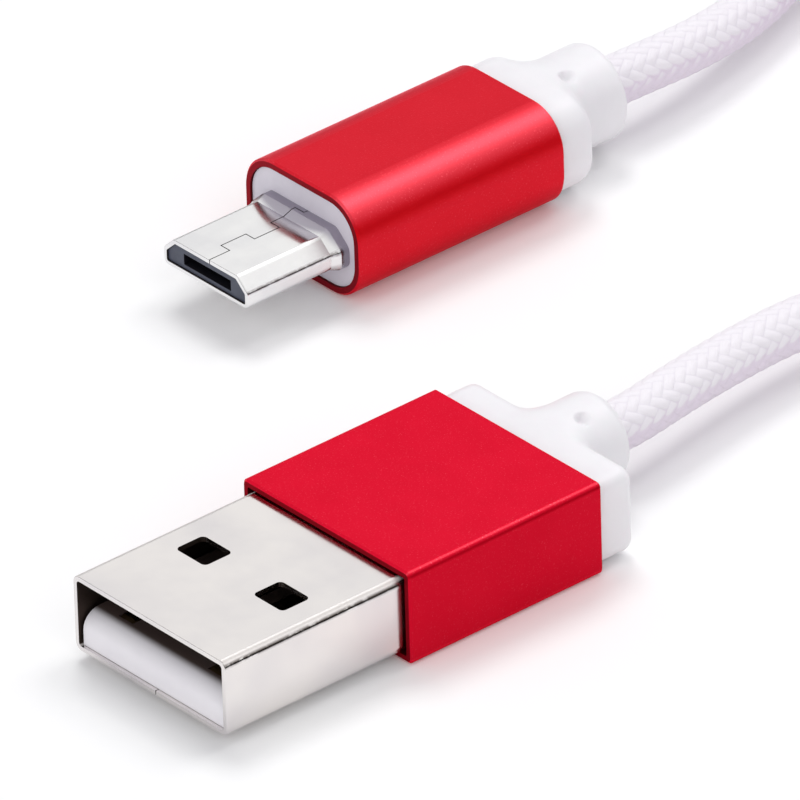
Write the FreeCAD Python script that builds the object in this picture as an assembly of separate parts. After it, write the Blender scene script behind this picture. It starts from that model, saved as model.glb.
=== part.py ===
import FreeCAD, Part
import math
import os

from FreeCAD import Vector

os.makedirs("parts", exist_ok=True)

# A 1 m charging cable with a type A host plug and a micro B device plug.
# Millimetres, +Z up, the floor at z = 0, both plugs pointing along -Y.
# Each plug is drawn about its own axis, from its shell's tip at y = 0, and then set in place.

# Fits that both plugs share
seat_gap = 0.02            # between a piece and the pocket that holds it
spring_gap = 0.03          # behind a spring's root
flange_step = 0.25         # from the sleeve's face in to the boot's flange
sleeve_bevel = 0.12        # along the sleeve's two ends
lip_round = 0.07           # along a shell's front lip

# Cable, from its wires outwards
conductor_diameter = 0.3
wire_diameter = 0.7
wire_space = 0.12          # between neighbouring wires in the bundle
jacket_wall = 0.25
braid_thickness = 0.18
wire_offset = (wire_diameter + wire_space) / 2
jacket_bore_radius = wire_offset * math.sqrt(2) + wire_diameter / 2 + seat_gap
jacket_radius = jacket_bore_radius + jacket_wall
cord_radius = jacket_radius + seat_gap + braid_thickness
cord_diameter = 2 * cord_radius
clamp_thickness = 0.25
clamp_grip = 2.0           # how much of the jacket the clamp holds
clamp_split = 0.8          # open top of the clamp's ring
clamp_width = 2.4          # of the clamp's plate
clamp_inset = 0.3          # jacket that shows at each end of the ring
clamp_flat = 0.6           # of the plate behind the shell
clamp_seat = 0.2           # from the plate's front to the piece before it
solder_length = 1.3
solder_radius = 0.36
solder_lift = 0.05         # solder under the conductor
solder_inset = 0.1         # tail behind the solder, and solder before the conductor
bare_length = 0.2          # bare conductor behind the tail
wire_lead = 0.25           # straight wire before and after its bend

# Host plug: shell of the standard type A size
host_width = 12.0
host_height = 4.5
host_sheet = 0.3
host_bend = 0.5            # outer radius of the folded corners
host_exposed = 11.9        # from the tip to the sleeve's mouth
host_hidden = 6.9          # shell inside the sleeve
window_width = 2.34
window_length = 1.9
window_spacing = 6.08      # between the two windows of a face
window_front = 5.36
window_corner = 0.3

# Host plug: tongue and contacts
tongue_side_gap = 0.15     # from the tongue to the shell
tongue_setback = 0.2
tongue_level = 1.95        # contact face above the shell's inner floor
nose_depth = 1.1
nose_drop = 0.6
host_block_length = 4.6
contact_width = 1.0
contact_thickness = 0.25
contact_proud = 0.02
contact_side_gap = 0.05
outer_contact_start = 1.4
inner_contact_start = 2.4
inner_contact_spacing = 2.0
outer_contact_spacing = 7.0
contact_tail = 1.6         # behind the block
contact_tail_width = 0.7
host_wire_room = 4.2       # from the shell to the jacket

# Host plug: sleeve and boot
host_side_gap = 0.15       # between shell and sleeve
host_face_gap = 0.1
host_wall = 0.4
host_sleeve_length = 13.1
host_sleeve_corner = 0.35
host_bore_corner = 0.1
host_flange_length = 2.5
host_flange_corner = 0.95
host_flange_round = 0.85
host_collar_radius = 2.55
host_collar_length = 3.35
host_collar_round = 0.85
host_exit_rise = 0.45      # cable axis above the plug's axis
host_gate_angle = 17.0     # moulding gate's dimple, from the top towards +X
host_gate_inset = 2.2      # and from the collar's end

# Device plug: shell of the standard micro B size
micro_width = 6.85
micro_height = 1.8
micro_side = 1.0           # upright part of each side
micro_slope = 0.87         # width of each sloping corner
micro_sheet = 0.25
micro_bend = 0.38
micro_exposed = 6.7
micro_hidden = 2.5
flare_step = 0.22          # how far the root flares out
flare_front = 0.95         # from the mouth to the flare's start
flare_full = 0.4           # from the mouth to the flare's full size
flare_hidden = 0.6         # flare inside the core

# Device plug: insulator, spring contacts and latch
micro_face_setback = 0.12
micro_block_end = 9.6
slot_width = 3.8
slot_height = 0.65
slot_floor = -0.4
slot_depth = 5.6
pin_count = 5
pin_pitch = 0.65
pin_width = 0.3
pin_thickness = 0.12
pin_side_gap = 0.06
pin_level = -0.5           # middle of the tails
pin_rise = 0.24            # bend of the spring above its tail
pin_bump = 2.1             # from the tip to the top of the bend
pin_front = 1.15
pin_front_drop = 0.11      # front end under the top of the bend
pin_bend_front = 0.35      # from the top of the bend to its front shoulder
pin_bend_rear = 0.6        # and to its rear shoulder
pin_shoulder_drop = 0.02
pin_shoulder_fall = 0.08
pin_tail_end = 11.4
latch_spacing = 4.9
latch_width = 0.6
latch_thickness = 0.2
latch_side_gap = 0.06
latch_level = -0.5
latch_root = 7.0
latch_front = 2.0
latch_anchor_length = 1.8
latch_room = 0.7           # space over the arm's underside
hook_front = 2.35
hook_rear = 3.3
hook_depth = 0.65
hook_tip_front = 0.5       # slope of the hook's leading face
hook_tip_rear = 0.15
hook_side_gap = 0.1
hook_end_gap = 0.2

# Device plug: core, sleeve and boot
core_beside = 0.755        # moulding on each side of the shell
core_over = 1.63           # and over and under it
micro_wall = 0.45
micro_sleeve_corner = 2.35
micro_sleeve_length = 14.4
core_setback = 0.15
micro_flange_length = 2.6
micro_flange_round = 0.9
micro_collar_radius = 2.75
micro_collar_length = 3.7
micro_collar_round = 0.45
micro_exit_rise = 0.15
micro_gate_angle = 26.0
micro_gate_inset = 3.1
micro_wire_room = 4.8      # from the tails to the jacket

# Boots
spigot_length = 1.6        # of a boot inside its sleeve
gate_diameter = 0.8
gate_depth = 0.7

# Seams of the two shells
seam_width = 0.06
seam_jog = 0.7             # total sideways step
seam_first = 1.4           # from the tip to the first step
seam_pitch = 1.72          # from step to step

# Where the plugs lie
plug_spacing = 26.8        # between the two plugs' axes
tip_offset = 26.6          # from the host plug's tip to the device plug's, along +Y

# Coil that holds the cable's spare length
coil_x = 1.45
coil_y = 62.0
coil_radius = 22.7         # middle of the outermost turn
coil_space = 0.45          # between turns, and between the two layers
coil_turns_in = 4
coil_climb = 0.5           # turn that climbs from the lower to the upper layer

# Straight cord behind each plug, and before the coil on each side
host_exit_run = 1.8
micro_exit_run = 2.6
host_coil_run = 3.6
micro_coil_run = 4.6


def line(a, b):
    return Part.LineSegment(a, b).toShape()


def arc(a, b, c):
    return Part.Arc(a, b, c).toShape()


# Closed outline in the plane at y, through corners (x, z) that are each rounded by one radius
def outline(corners, radius, y):
    spots = [Vector(x, y, z) for x, z in corners]
    rounds = []
    for i, corner in enumerate(spots):
        back = (spots[i - 1] - corner).normalize()
        ahead = (spots[(i + 1) % len(spots)] - corner).normalize()
        half = back.getAngle(ahead) / 2
        inward = (back + ahead).normalize()
        reach = radius / math.tan(half)
        centre = corner + inward * (radius / math.sin(half))
        rounds.append((corner + back * reach, centre - inward * radius, corner + ahead * reach))
    edges = []
    for i, (start, middle, end) in enumerate(rounds):
        edges.append(arc(start, middle, end))
        edges.append(line(end, rounds[(i + 1) % len(rounds)][0]))
    return Part.Wire(edges)


# The same corners moved in by an amount, or out where it is negative
def inset(corners, amount):
    count = len(corners)
    lines = []
    for i in range(count):
        (x0, z0), (x1, z1) = corners[i], corners[(i + 1) % count]
        size = math.hypot(x1 - x0, z1 - z0)
        nx, nz = -(z1 - z0) / size, (x1 - x0) / size
        lines.append((nx, nz, nx * x0 + nz * z0 + amount))
    moved = []
    for i in range(count):
        a0, b0, c0 = lines[i - 1]
        a1, b1, c1 = lines[i]
        det = a0 * b1 - a1 * b0
        moved.append(((c0 * b1 - c1 * b0) / det, (a0 * c1 - a1 * c0) / det))
    return moved


def rectangle(width, height):
    x, z = width / 2, height / 2
    return [(-x, -z), (x, -z), (x, z), (-x, z)]


def block(corners, radius, start, end):
    return Part.Face(outline(corners, radius, start)).extrude(Vector(0, end - start, 0))


def box(x0, x1, y0, y1, z0, z1):
    return Part.makeBox(x1 - x0, y1 - y0, z1 - z0, Vector(x0, y0, z0))


def rod(x, z, start, end, radius):
    return Part.makeCylinder(radius, end - start, Vector(x, start, z), Vector(0, 1, 0))


# Round root that a spring turns about, along +X
def roller(x, y, z, radius, width):
    return Part.makeCylinder(radius, width, Vector(x, y, z), Vector(1, 0, 0))


# A flat strip cut to a side view of (y, z) points, between two x planes
def strip(points, x0, x1):
    spots = [Vector(x0, y, z) for y, z in points]
    return Part.Face(Part.makePolygon(spots + spots[:1])).extrude(Vector(x1 - x0, 0, 0))


def end_edges(solid, y):
    near = 1e-4
    found = []
    for edge in solid.Edges:
        span = edge.BoundBox
        if abs(span.YMin - y) < near and abs(span.YMax - y) < near:
            found.append(edge)
    return found


# Zigzag slit along a shell's face, where the folded sheet meets itself
def seam(length, z0, z1):
    half = seam_width / 2
    side = seam_jog / 2
    start = 0.0
    end = seam_first
    slits = []
    while start < length:
        slits.append(box(side - half, side + half, start - half, end + half, z0, z1))
        if end < length:
            slits.append(box(-abs(side) - half, abs(side) + half, end - half, end + half, z0, z1))
        start = end
        end = min(start + seam_pitch, length)
        side = -side
    return slits[0].fuse(slits[1:])


# Solid wire with a bare end: straight, two equal arcs, straight
def lead(start, end, y_bare, y_cover, y_end, y_cut):
    (x0, z0), (x1, z1) = start, end
    y0 = y_cover + wire_lead
    y1 = y_end - wire_lead
    across = math.hypot(x1 - x0, z1 - z0)
    along = y1 - y0
    radius = (along ** 2 + across ** 2) / (4 * across)
    quarter = math.atan(across / along)
    side = Vector(x1 - x0, 0, z1 - z0).normalize()
    out = radius * (1 - math.cos(quarter))
    step = radius * math.sin(quarter)
    a = Vector(x0, y0, z0)
    d = Vector(x1, y1, z1)
    first = Vector(x0, y_cover, z0)
    last = Vector(x1, y_cut, z1)
    middle = (a + d) / 2
    b = a + side * out + Vector(0, step, 0)
    c = d - side * out - Vector(0, step, 0)
    path = Part.Wire([line(first, a), arc(a, b, middle), arc(middle, c, d), line(d, last)])
    ring = Part.Wire([Part.Circle(first, Vector(0, 1, 0), wire_diameter / 2).toShape()])
    cover = path.makePipeShell([ring], True, False)
    return cover.fuse(rod(x0, z0, y_bare, y_cover + wire_lead, conductor_diameter / 2))


# Solder over the conductor, on one side of the tail's face at z
def solder(x, axis_z, face_z, side, y, embedded):
    middle = y + solder_length / 2
    top = Vector(x, middle, axis_z + solder_radius)
    ends = [Vector(x, y, axis_z), Vector(x, y + solder_length, axis_z)]
    shoulders = [end + Vector(0, 0, conductor_diameter / 2 + solder_lift / 2) for end in ends]
    edges = [line(ends[0], shoulders[0]), arc(shoulders[0], top, shoulders[1]),
             line(shoulders[1], ends[1]), line(ends[1], ends[0])]
    blob = Part.Face(Part.Wire(edges)).revolve(Vector(x, 0, axis_z), Vector(0, 1, 0), 360)
    reach = 2 * solder_radius
    z0, z1 = (face_z, face_z + reach) if side > 0 else (face_z - reach, face_z)
    blob = blob.common(box(x - reach, x + reach, y - reach, y + solder_length + reach, z0, z1))
    return blob.cut(embedded)


# Plate from the shell to the cable, with a split ring crimped round the jacket
def cable_clamp(plate_z, side, plate_start, plate_end, ring_start, axis_z):
    ring_end = ring_start + clamp_grip
    bore = jacket_radius + seat_gap
    outer = bore + clamp_thickness
    ring_z = axis_z + side * outer
    inner = -side * clamp_thickness
    plate = strip([(plate_start, plate_z), (plate_end, plate_z), (ring_start, ring_z), (ring_end, ring_z),
                   (ring_end, ring_z + inner), (ring_start, ring_z + inner),
                   (plate_end, plate_z + inner), (plate_start, plate_z + inner)],
                  -clamp_width / 2, clamp_width / 2)
    ring = rod(0, axis_z, ring_start, ring_end, outer)
    z0, z1 = sorted((axis_z, axis_z - side * 2 * outer))
    ring = ring.cut(box(-clamp_split / 2, clamp_split / 2, ring_start, ring_end, z0, z1))
    return plate.fuse(ring).cut(rod(0, axis_z, ring_start - clamp_grip, ring_end + clamp_grip, bore))


# Flange, spigot and collar in one moulding; the collar's axis is the cable's
def boot(sleeve_corners, bore_corner, wall, rear, flange_length, corner, flange_round,
         collar_radius, collar_length, collar_round, rise, gate_angle, gate_inset, embedded):
    spigot = block(inset(sleeve_corners, wall + seat_gap), bore_corner, rear - spigot_length, rear)
    flange_end = rear + flange_length
    flange_corners = inset(sleeve_corners, flange_step)
    flange = block(flange_corners, corner, rear, flange_end)
    flange = flange.makeFillet(flange_round, end_edges(flange, flange_end))
    flange_top = flange_corners[2][1] - rise
    end = flange_end + collar_length
    inner = collar_radius - collar_round
    slant = collar_round * (1 - math.sqrt(0.5))
    profile = [Vector(0, rear, 0), Vector(0, rear, flange_top), Vector(0, flange_end, collar_radius),
               Vector(0, end - collar_round, collar_radius), Vector(0, end, inner), Vector(0, end, 0)]
    middle = Vector(0, end - slant, collar_radius - slant)
    edges = [line(profile[0], profile[1]), line(profile[1], profile[2]), line(profile[2], profile[3]),
             arc(profile[3], middle, profile[4]), line(profile[4], profile[5]), line(profile[5], profile[0])]
    collar = Part.Face(Part.Wire(edges)).revolve(Vector(0, 0, 0), Vector(0, 1, 0), 360)
    collar.translate(Vector(0, 0, rise))
    angle = math.radians(gate_angle)
    out = Vector(math.sin(angle), 0, math.cos(angle))
    spot = Vector(0, end - gate_inset, rise) + out * (collar_radius - gate_depth)
    gate = Part.makeCylinder(gate_diameter / 2, 2 * gate_depth, spot, out)
    return spigot.fuse([flange, collar]).cut([gate] + embedded)


# Red tube with its two outer ends bevelled
def sleeve(corners, corner, bore_corner, wall, start, end):
    tube = block(corners, corner, start, end)
    tube = tube.makeChamfer(sleeve_bevel, end_edges(tube, start) + end_edges(tube, end))
    return tube.cut(block(inset(corners, wall), bore_corner, start - wall, end + wall))


pieces = {}


def place(name, shape, where):
    shape = shape.copy()
    shape.translate(where)
    pieces[name] = shape


# Jacket and braid where the cable ends inside a boot, with the solids that a moulding flows round
def cable_end(y_jacket, y_braid, y_end, axis_z):
    jacket = rod(0, axis_z, y_jacket, y_end, jacket_radius)
    braid = rod(0, axis_z, y_braid, y_end, cord_radius)
    tube = jacket.cut(rod(0, axis_z, y_jacket, y_end, jacket_bore_radius))
    cover = braid.cut(rod(0, axis_z, y_braid, y_end, jacket_radius + seat_gap))
    return tube, cover, [jacket, braid]


# Host plug

host_rear = host_exposed + host_sleeve_length
host_end = host_rear + host_flange_length + host_collar_length
host_length = host_exposed + host_hidden
host_sleeve_width = host_width + 2 * (host_side_gap + host_wall)
host_sleeve_height = host_height + 2 * (host_face_gap + host_wall)
micro_sleeve_width = micro_width + 2 * (core_beside + seat_gap + micro_wall)
micro_sleeve_height = micro_height + 2 * (core_over + seat_gap + micro_wall)
host_x = (plug_spacing + micro_sleeve_width / 2 - host_sleeve_width / 2) / 2
micro_x = host_x - plug_spacing
micro_rear = micro_exposed + micro_sleeve_length
micro_end = micro_rear + micro_flange_length + micro_collar_length
host_y = -(tip_offset + micro_end) / 2
micro_y = host_y + tip_offset
host_place = Vector(host_x, host_y, host_sleeve_height / 2)
micro_place = Vector(micro_x, micro_y, micro_sleeve_height / 2)

host_outer = rectangle(host_width, host_height)
host_inner = inset(host_outer, host_sheet)
host_floor = host_sheet - host_height / 2
host_inner_bend = host_bend - host_sheet

shell = block(host_outer, host_bend, 0, host_length)
shell = shell.makeFillet(lip_round, end_edges(shell, 0))
shell = shell.cut(block(host_inner, host_inner_bend, -host_sheet, host_length + host_sheet))
windows = []
for side in (-1, 1):
    middle = side * window_spacing / 2
    window = box(middle - window_width / 2, middle + window_width / 2, window_front,
                 window_front + window_length, -host_height, host_height)
    upright = [edge for edge in window.Edges if edge.BoundBox.ZLength > host_height]
    windows.append(window.makeFillet(window_corner, upright))
shell = shell.cut(windows + [seam(host_length + host_sheet, -host_height, host_floor + host_sheet / 2)])
place("host_shell", shell, host_place)

tongue_width = host_width - 2 * (host_sheet + tongue_side_gap)
tongue_base = host_floor + seat_gap
tongue_top = host_floor + tongue_level
nose_radius = (nose_depth ** 2 + nose_drop ** 2) / (2 * nose_drop)
nose_half = math.asin(nose_depth / nose_radius) / 2
nose_end = tongue_setback + nose_depth
nose_low = Vector(-tongue_width / 2, tongue_setback, tongue_top - nose_drop)
nose_middle = Vector(-tongue_width / 2, nose_end - nose_radius * math.sin(nose_half),
                     tongue_top - nose_radius * (1 - math.cos(nose_half)))
nose_high = Vector(-tongue_width / 2, nose_end, tongue_top)
tongue_back = Vector(-tongue_width / 2, host_exposed, tongue_top)
tongue_foot = Vector(-tongue_width / 2, host_exposed, tongue_base)
tongue_toe = Vector(-tongue_width / 2, tongue_setback, tongue_base)
tongue_side = Part.Wire([arc(nose_low, nose_middle, nose_high), line(nose_high, tongue_back),
                         line(tongue_back, tongue_foot), line(tongue_foot, tongue_toe),
                         line(tongue_toe, nose_low)])
tongue = Part.Face(tongue_side).extrude(Vector(tongue_width, 0, 0))
host_block_end = host_exposed + host_block_length
insulator = tongue.fuse(block(inset(host_inner, seat_gap), host_inner_bend, host_exposed, host_block_end))

contact_top = tongue_top + contact_proud
contact_base = contact_top - contact_thickness
tail_end = host_block_end + contact_tail
host_contacts = {"power": (-outer_contact_spacing / 2, outer_contact_start),
                 "data_minus": (-inner_contact_spacing / 2, inner_contact_start),
                 "data_plus": (inner_contact_spacing / 2, inner_contact_start),
                 "ground": (outer_contact_spacing / 2, outer_contact_start)}
contacts = {}
for name, (x, start) in host_contacts.items():
    blade = strip([(start, contact_base), (start, contact_base + contact_thickness / 2),
                   (start + contact_thickness, contact_top), (tail_end, contact_top),
                   (tail_end, contact_base)],
                  x - contact_width / 2, x + contact_width / 2)
    for edge_x in (x - contact_width / 2, x + contact_tail_width / 2):
        blade = blade.cut(box(edge_x, edge_x + (contact_width - contact_tail_width) / 2, host_block_end,
                              tail_end, contact_base, contact_top))
    contacts[name] = blade
    side_gap = contact_width / 2 + contact_side_gap
    insulator = insulator.cut(box(x - side_gap, x + side_gap, start - contact_side_gap, host_block_end,
                                  contact_base - seat_gap, contact_top + seat_gap))
    place("host_contact_" + name, blade, host_place)
place("host_insulator", insulator, host_place)

bundle = {"power": (-wire_offset, wire_offset), "data_minus": (-wire_offset, -wire_offset),
          "data_plus": (wire_offset, -wire_offset), "ground": (wire_offset, wire_offset)}
host_jacket_start = host_length + host_wire_room
host_ring_start = host_jacket_start + clamp_inset
host_braid_start = host_ring_start + clamp_grip + clamp_inset
jacket, braid, host_cable = cable_end(host_jacket_start, host_braid_start, host_end, host_exit_rise)
place("host_jacket_end", jacket, host_place)
place("host_braid_end", braid, host_place)

conductor_lift = conductor_diameter / 2 + solder_lift
host_joint_start = tail_end - solder_length - solder_inset
host_embedded = []
for name, (x, start) in host_contacts.items():
    dx, dz = bundle[name]
    wire_z = contact_top + conductor_lift
    wire = lead((x, wire_z), (dx, host_exit_rise + dz), host_joint_start + solder_inset,
                tail_end + bare_length, host_jacket_start, host_end)
    joint = solder(x, wire_z, contact_top, 1, host_joint_start, [wire])
    place("host_wire_" + name, wire, host_place)
    place("host_solder_" + name, joint, host_place)
    host_embedded += [contacts[name], wire, joint]

clamp = cable_clamp(tongue_base, -1, host_block_end + clamp_seat, host_length + clamp_flat,
                    host_ring_start, host_exit_rise)
place("host_cable_clamp", clamp, host_place)

host_corners = rectangle(host_sleeve_width, host_sleeve_height)
host_spigot = host_rear - spigot_length
mould = block(inset(host_inner, seat_gap), host_inner_bend, host_block_end + seat_gap, host_length)
mould = mould.fuse(block(inset(host_corners, host_wall + seat_gap), host_bore_corner, host_length,
                         host_spigot - seat_gap))
place("host_inner_mould", mould.cut(host_embedded + [clamp] + host_cable), host_place)
place("host_sleeve", sleeve(host_corners, host_sleeve_corner, host_bore_corner, host_wall, host_exposed,
                            host_rear), host_place)
place("host_boot", boot(host_corners, host_bore_corner, host_wall, host_rear, host_flange_length,
                        host_flange_corner, host_flange_round, host_collar_radius, host_collar_length,
                        host_collar_round, host_exit_rise, host_gate_angle, host_gate_inset,
                        [clamp] + host_cable), host_place)


# Device plug

half_width = micro_width / 2
half_height = micro_height / 2
shoulder = micro_side - half_height
micro_outer = [(-half_width, -half_height), (half_width, -half_height), (half_width, shoulder),
               (half_width - micro_slope, half_height), (micro_slope - half_width, half_height),
               (-half_width, shoulder)]
micro_inner = inset(micro_outer, micro_sheet)
micro_inner_bend = micro_bend - micro_sheet
micro_length = micro_exposed + micro_hidden
micro_floor = micro_sheet - half_height

# The shell flares out where it meets the core
flare_outer = inset(micro_outer, -flare_step)
flare_bend = micro_bend + flare_step
flare_start = micro_exposed - flare_front
flare_middle = micro_exposed - flare_full
flare_end = micro_exposed + flare_hidden
shell_solid = block(micro_outer, micro_bend, 0, micro_length)
shell_solid = shell_solid.makeFillet(lip_round, end_edges(shell_solid, 0))
flare = Part.makeLoft([outline(micro_outer, micro_bend, flare_start),
                       outline(flare_outer, flare_bend, flare_middle)], True, True)
shell_solid = shell_solid.fuse([flare, block(flare_outer, flare_bend, flare_middle, flare_end)])
hooks_x = (-latch_spacing / 2, latch_spacing / 2)
shell = shell_solid.cut(block(micro_inner, micro_inner_bend, -micro_sheet, micro_length + micro_sheet))
for x in hooks_x:
    reach = latch_width / 2 + hook_side_gap
    shell = shell.cut(box(x - reach, x + reach, hook_front - hook_end_gap, hook_rear + hook_end_gap,
                          -micro_height, micro_floor + micro_sheet / 2))
shell = shell.cut(seam(micro_length + micro_sheet, half_height - 1.5 * micro_sheet, micro_height))
place("micro_shell", shell, micro_place)

insulator = block(inset(micro_inner, seat_gap), micro_inner_bend, micro_face_setback, micro_block_end)
insulator = insulator.cut(box(-slot_width / 2, slot_width / 2, 0, slot_depth, slot_floor,
                              slot_floor + slot_height))

pin_root = slot_depth
pin_half = pin_thickness / 2
pin_bump_level = pin_level + pin_rise
pin_front_level = pin_bump_level - pin_front_drop
tail_start = pin_root + pin_half + spring_gap
pin_middle = [(pin_front, pin_front_level),
              (pin_bump - pin_bend_front, pin_bump_level - pin_shoulder_drop),
              (pin_bump, pin_bump_level),
              (pin_bump + pin_bend_rear, pin_bump_level - pin_shoulder_fall),
              (pin_root, pin_level)]
spring_side = [(y, z - pin_half) for y, z in pin_middle]
spring_side += [(y, z + pin_half) for y, z in reversed(pin_middle)]
tails = []
for number in range(1, pin_count + 1):
    x = (number - (pin_count + 1) / 2) * pin_pitch
    x0, x1 = x - pin_width / 2, x + pin_width / 2
    spring = strip(spring_side, x0, x1)
    spring = spring.fuse(roller(x0, pin_root, pin_level, pin_half, pin_width))
    tail = box(x0, x1, tail_start, pin_tail_end, pin_level - pin_half, pin_level + pin_half)
    groove = box(x0 - pin_side_gap, x1 + pin_side_gap, pin_front - pin_side_gap - pin_thickness, tail_start,
                 -half_height, slot_floor + pin_thickness)
    insulator = insulator.cut([groove, tail])
    place("micro_contact_%d" % number, spring, micro_place)
    place("micro_tail_%d" % number, tail, micro_place)
    tails.append(tail)

latch_half = latch_thickness / 2
anchor_start = latch_root + latch_half + spring_gap
arm_low = latch_level - latch_half
arm_high = latch_level + latch_half
hook_tip = arm_low - hook_depth
arm_side = [(latch_root, arm_high), (latch_front, arm_high), (latch_front, arm_low), (hook_front, arm_low),
            (hook_front + hook_tip_front, hook_tip), (hook_rear - hook_tip_rear, hook_tip),
            (hook_rear, arm_low), (latch_root, arm_low)]
for side, x in zip(("left", "right"), hooks_x):
    x0, x1 = x - latch_width / 2, x + latch_width / 2
    arm = strip(arm_side, x0, x1)
    arm = arm.fuse(roller(x0, latch_root, latch_level, latch_half, latch_width))
    anchor = box(x0, x1, anchor_start, anchor_start + latch_anchor_length, arm_low, arm_high)
    room = box(x0 - latch_side_gap, x1 + latch_side_gap, latch_front - 2 * latch_side_gap, anchor_start,
               -half_height, arm_low + latch_room)
    insulator = insulator.cut([room, anchor])
    place("micro_latch_" + side, arm, micro_place)
    place("micro_latch_anchor_" + side, anchor, micro_place)
place("micro_insulator", insulator, micro_place)

micro_jacket_start = pin_tail_end + micro_wire_room
micro_ring_start = micro_jacket_start + clamp_inset
micro_braid_start = micro_ring_start + clamp_grip + clamp_inset
jacket, braid, micro_cable = cable_end(micro_jacket_start, micro_braid_start, micro_end, micro_exit_rise)
place("micro_jacket_end", jacket, micro_place)
place("micro_braid_end", braid, micro_place)

# Pins 1 and 3 take their wires on top and pins 2 and 5 below; pin 4 has none
micro_joints = {"power": (1, 1), "data_minus": (2, -1), "data_plus": (3, 1), "ground": (5, -1)}
micro_bundle = {"power": (-wire_offset, wire_offset), "data_minus": (-wire_offset, -wire_offset),
                "data_plus": (wire_offset, wire_offset), "ground": (wire_offset, -wire_offset)}
micro_joint_start = pin_tail_end - solder_length - solder_inset
micro_embedded = tails
for name, (number, side) in micro_joints.items():
    x = (number - (pin_count + 1) / 2) * pin_pitch
    face_z = pin_level + side * pin_half
    wire_z = face_z + side * conductor_lift
    dx, dz = micro_bundle[name]
    wire = lead((x, wire_z), (dx, micro_exit_rise + dz), micro_joint_start + solder_inset,
                pin_tail_end + bare_length, micro_jacket_start, micro_end)
    joint = solder(x, wire_z, face_z, side, micro_joint_start, [wire])
    place("micro_wire_" + name, wire, micro_place)
    place("micro_solder_" + name, joint, micro_place)
    micro_embedded += [wire, joint]

clamp = cable_clamp(half_height + seat_gap + clamp_thickness, 1, flare_end + clamp_seat,
                    micro_length + clamp_flat, micro_ring_start, micro_exit_rise)
place("micro_cable_clamp", clamp, micro_place)

micro_corners = rectangle(micro_sleeve_width, micro_sleeve_height)
micro_bore_corner = micro_sleeve_corner - micro_wall
micro_spigot = micro_rear - spigot_length
core = block(inset(micro_corners, micro_wall + seat_gap), micro_bore_corner, micro_exposed + core_setback,
             micro_spigot - seat_gap)
shell_room = block(micro_outer, micro_bend, micro_length, micro_block_end)
core = core.cut([shell_solid, shell_room, clamp] + micro_embedded + micro_cable)
place("micro_core", core, micro_place)
place("micro_sleeve", sleeve(micro_corners, micro_sleeve_corner, micro_bore_corner, micro_wall, micro_exposed,
                             micro_rear), micro_place)
place("micro_boot", boot(micro_corners, micro_bore_corner, micro_wall, micro_rear, micro_flange_length,
                         micro_sleeve_corner - flange_step, micro_flange_round, micro_collar_radius,
                         micro_collar_length, micro_collar_round, micro_exit_rise, micro_gate_angle,
                         micro_gate_inset, [clamp] + micro_cable), micro_place)

# Cord

low = cord_radius
high = low + cord_diameter + coil_space
coil_pitch = cord_diameter + coil_space
coil_turns = 2 * coil_turns_in + coil_climb
coil_east = coil_x + coil_radius
coil_west = coil_x - coil_radius
coil_south = coil_y - cord_diameter
host_exit = Vector(host_x, host_y + host_end, host_sleeve_height / 2 + host_exit_rise)
micro_exit = Vector(micro_x, micro_y + micro_end, micro_sleeve_height / 2 + micro_exit_rise)

# The cord comes level out of each boot, sinks to the floor and swings out to the coil
host_route = [host_exit, host_exit + Vector(0, host_exit_run, 0),
              Vector(11.9, 8.8, 3.2), Vector(11.1, 13.2, 3.0), Vector(10.5, 18.4, 2.75),
              Vector(10.6, 24.2, 2.35), Vector(12.2, 31.0, 1.75), Vector(15.7, 37.6, 1.4),
              Vector(19.8, 44.2, 1.4), Vector(23.2, 51.0, 1.4),
              Vector(coil_east, coil_south - host_coil_run, low), Vector(coil_east, coil_south, low)]
micro_route = [micro_exit, micro_exit + Vector(0, micro_exit_run, 0),
               Vector(-14.75, 34.2, 2.7), Vector(-16.05, 39.4, 2.15), Vector(-18.15, 44.6, 2.3),
               Vector(-19.85, 49.8, 3.35),
               Vector(coil_west, coil_south - micro_coil_run, high), Vector(coil_west, coil_south, high)]


# Straight runs joined by arcs as large as the runs on both sides allow
def run_path(name, points):
    edges = []
    radii = []
    start = points[0]
    for before, corner, after in zip(points, points[1:], points[2:]):
        back = before - corner
        ahead = after - corner
        reach = 0.45 * min(back.Length, ahead.Length)
        half_turn = (math.pi - back.getAngle(ahead)) / 2
        radius = reach / math.tan(half_turn)
        radii.append(round(radius, 1))
        a = corner + back.normalize() * reach
        b = corner + ahead.normalize() * reach
        centre_way = (back + ahead).normalize()
        middle = corner + centre_way * (radius / math.cos(half_turn) - radius)
        edges += [line(start, a), arc(a, middle, b)]
        start = b
    edges.append(line(start, points[-1]))
    print(name, "radii", radii)
    return edges


# Two arcs from a to b that leave a along one unit vector and reach b along the other
def biarc(a, along_a, b, along_b):
    chord = b - a
    both = along_a + along_b
    k = 2 * (1 - along_a.dot(along_b))
    m = chord.dot(both)
    reach = (math.sqrt(m ** 2 + k * chord.dot(chord)) - m) / k
    joint = (a + along_a * reach + b - along_b * reach) / 2
    return [bow(a, a + along_a * reach, joint), bow(joint, b - along_b * reach, b)]


# Arc from a to b whose end tangents meet at one point
def bow(a, meet, b):
    middle = (a + b) / 2
    half_chord = (b - a).Length / 2
    rise = meet - middle
    half_turn = math.atan(rise.Length / half_chord)
    return arc(a, middle + rise.normalize() * (half_chord * math.tan(half_turn / 2)), b)


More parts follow.
